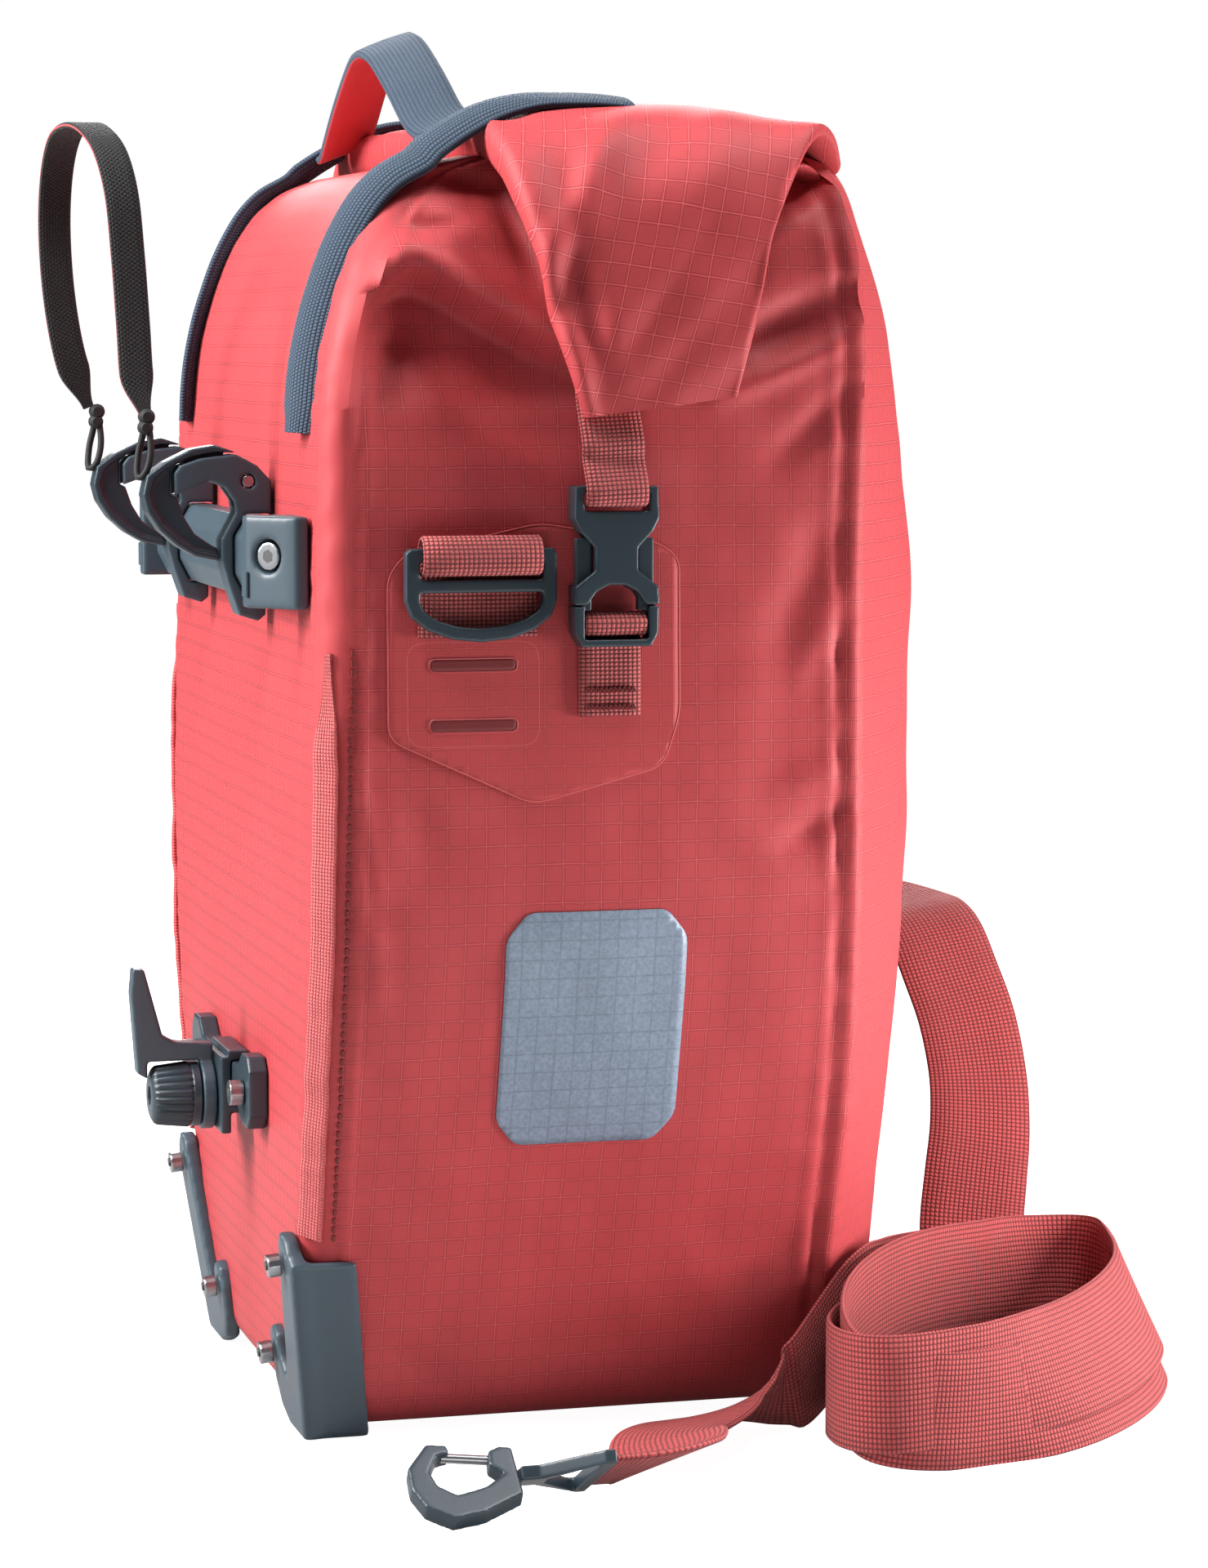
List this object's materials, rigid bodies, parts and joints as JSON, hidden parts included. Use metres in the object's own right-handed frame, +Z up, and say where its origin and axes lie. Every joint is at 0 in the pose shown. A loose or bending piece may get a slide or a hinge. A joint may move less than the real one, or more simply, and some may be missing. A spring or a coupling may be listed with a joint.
{
  "type": "pannier bag",
  "caption": "Roll-top bicycle pannier bag with rack hooks and release loop, lower clamp, corner guards, side buckles, D-rings and a clip-on shoulder strap coiled beside it.",
  "frame": {"origin": "on the ground at the middle of the bag's footprint", "axes": "+Z up, +X along the bicycle towards the end with the clipped strap, +Y from the bag towards the rack"},
  "size_m": [0.395, 0.366, 0.4585],
  "materials": {
    "coral_fabric": "coated ripstop, satin",
    "coral_webbing": "woven webbing",
    "navy_webbing": "woven webbing",
    "black_webbing": "woven webbing",
    "reflective_film": "retroreflective film, satin",
    "petrol_plastic": "moulded, fine satin",
    "stiffener_plastic": "sheet plastic",
    "steel": "bright"
  },
  "bodies": {
    "bag": {"back_panel": "coral_fabric", "front_panel": "coral_fabric", "side_panel_left": "coral_fabric", "side_panel_right": "coral_fabric", "base_panel": "coral_fabric", "back_board": "stiffener_plastic", "roll_top": "coral_fabric", "rim_stiffener": "stiffener_plastic", "trim_strap_left": "navy_webbing", "trim_strap_right": "navy_webbing", "reflector_patch": "reflective_film", "anchor_patch_left": "coral_fabric", "anchor_patch_right": "coral_fabric", "d_ring_right": "petrol_plastic", "d_ring_loop_left": "coral_webbing", "d_ring_loop_right": "coral_webbing", "buckle_male_left": "petrol_plastic", "buckle_male_right": "petrol_plastic", "buckle_strap_lower_left": "coral_webbing", "buckle_strap_lower_right": "coral_webbing", "rail_end_cap_left": "petrol_plastic", "rail_end_cap_right": "petrol_plastic", "rail_screw_left": "steel", "rail_screw_right": "steel", "lower_rail_screw_left": "steel", "lower_rail_screw_right": "steel", "corner_guard_left": "petrol_plastic", "corner_guard_right": "petrol_plastic", "snap_hook_left": "petrol_plastic", "snap_hook_right": "petrol_plastic", "snap_swivel_right": "petrol_plastic", "guard_screw_left_outer": "steel", "guard_screw_left_inner": "steel", "guard_screw_right_outer": "steel", "guard_screw_right_inner": "steel", "hook_rail": "petrol_plastic", "lower_rail": "petrol_plastic", "shoulder_strap_hang": "coral_webbing", "shoulder_strap_coil": "coral_webbing", "shoulder_strap_tail": "coral_webbing"},
    "hook_left": {"hook_left": "petrol_plastic", "latch_pin_left": "steel"},
    "latch_left": {"latch_left": "petrol_plastic"},
    "hook_right": {"hook_right": "petrol_plastic", "latch_pin_right": "steel"},
    "latch_right": {"latch_right": "petrol_plastic"},
    "release_loop": {"release_loop": "black_webbing"},
    "carry_handle": {"carry_handle": "navy_webbing"},
    "d_ring_left": {"d_ring_left": "petrol_plastic"},
    "buckle_top_left": {"buckle_female_left": "petrol_plastic", "buckle_strap_upper_left": "coral_webbing"},
    "buckle_top_right": {"buckle_female_right": "petrol_plastic", "buckle_strap_upper_right": "coral_webbing"},
    "lower_slider": {"lower_slider": "petrol_plastic"},
    "lower_hook": {"lower_hook": "petrol_plastic"},
    "clamp_knob": {"clamp_knob": "petrol_plastic"},
    "snap_gate_left": {"snap_gate_left": "steel"},
    "snap_gate_right": {"snap_gate_right": "steel"},
    "snap_swivel_left": {"snap_swivel_left": "petrol_plastic"}
  },
  "joints": [
    {"name": "hook_slide_left", "type": "slide", "parent": "bag", "child": "hook_left", "axis": [-1, 0, 0], "range_m": [-0.02, 0.02]},
    {"name": "latch_hinge_left", "type": "hinge", "parent": "hook_left", "child": "latch_left", "pos_m": [-0.0525, 0.0965, 0.3097], "axis": [1, 0, 0], "range_deg": [0, 34], "stiffness_Nm_per_rad": 0.05, "springref_deg": -20.05},
    {"name": "hook_slide_right", "type": "slide", "parent": "bag", "child": "hook_right", "axis": [1, 0, 0], "range_m": [-0.02, 0.02]},
    {"name": "latch_hinge_right", "type": "hinge", "parent": "hook_right", "child": "latch_right", "pos_m": [0.0525, 0.0965, 0.3097], "axis": [1, 0, 0], "range_deg": [0, 34], "stiffness_Nm_per_rad": 0.05, "springref_deg": -20.05},
    {"name": "release_loop_swing", "type": "hinge", "parent": "latch_left", "child": "release_loop", "pos_m": [-0.0525, 0.1285, 0.312], "axis": [1, 0, 0], "range_deg": [-20, 3]},
    {"name": "carry_handle_swing", "type": "hinge", "parent": "bag", "child": "carry_handle", "pos_m": [0, 0.038, 0.423], "axis": [1, 0, 0], "range_deg": [-6, 9]},
    {"name": "d_ring_swing_left", "type": "hinge", "parent": "bag", "child": "d_ring_left", "pos_m": [-0.1413, 0.0397, 0.2892], "axis": [0, 1, 0], "range_deg": [0, 50]},
    {"name": "buckle_release_left", "type": "slide", "parent": "bag", "child": "buckle_top_left", "axis": [0, 0, 1], "range_m": [0, 0.004]},
    {"name": "buckle_release_right", "type": "slide", "parent": "bag", "child": "buckle_top_right", "axis": [0, 0, 1], "range_m": [0, 0.004]},
    {"name": "lower_slide", "type": "slide", "parent": "bag", "child": "lower_slider", "axis": [1, 0, 0], "range_m": [-0.007, 0.02]},
    {"name": "lower_hook_turn", "type": "hinge", "parent": "lower_slider", "child": "lower_hook", "pos_m": [-0.008, 0.101, 0.102], "axis": [0, 1, 0], "range_deg": [-90, 90]},
    {"name": "clamp_knob_turn", "type": "hinge", "parent": "lower_slider", "child": "clamp_knob", "pos_m": [-0.008, 0.106, 0.102], "axis": [0, 1, 0], "continuous": true},
    {"name": "snap_gate_left_hinge", "type": "hinge", "parent": "bag", "child": "snap_gate_left", "pos_m": [-0.18405, 0.0498, 0.01551], "axis": [-0.5446, 0, 0.8387], "range_deg": [-18, 0], "stiffness_Nm_per_rad": 0.02, "springref_deg": 20.05},
    {"name": "snap_gate_right_hinge", "type": "hinge", "parent": "bag", "child": "snap_gate_right", "pos_m": [0.1655, 0.0397, 0.2547], "axis": [0, -1, 0], "range_deg": [-18, 0], "stiffness_Nm_per_rad": 0.02, "springref_deg": 20.05},
    {"name": "snap_swivel_left_turn", "type": "hinge", "parent": "bag", "child": "snap_swivel_left", "pos_m": [-0.19008, 0.0407, 0.01159], "axis": [0, 1, 0], "range_deg": [0, 8]}
  ],
  "couplings": [
    {"joint": "hook_slide_right", "follows": "hook_slide_left", "ratio": 1},
    {"joint": "latch_hinge_right", "follows": "latch_hinge_left", "ratio": 1}
  ]
}
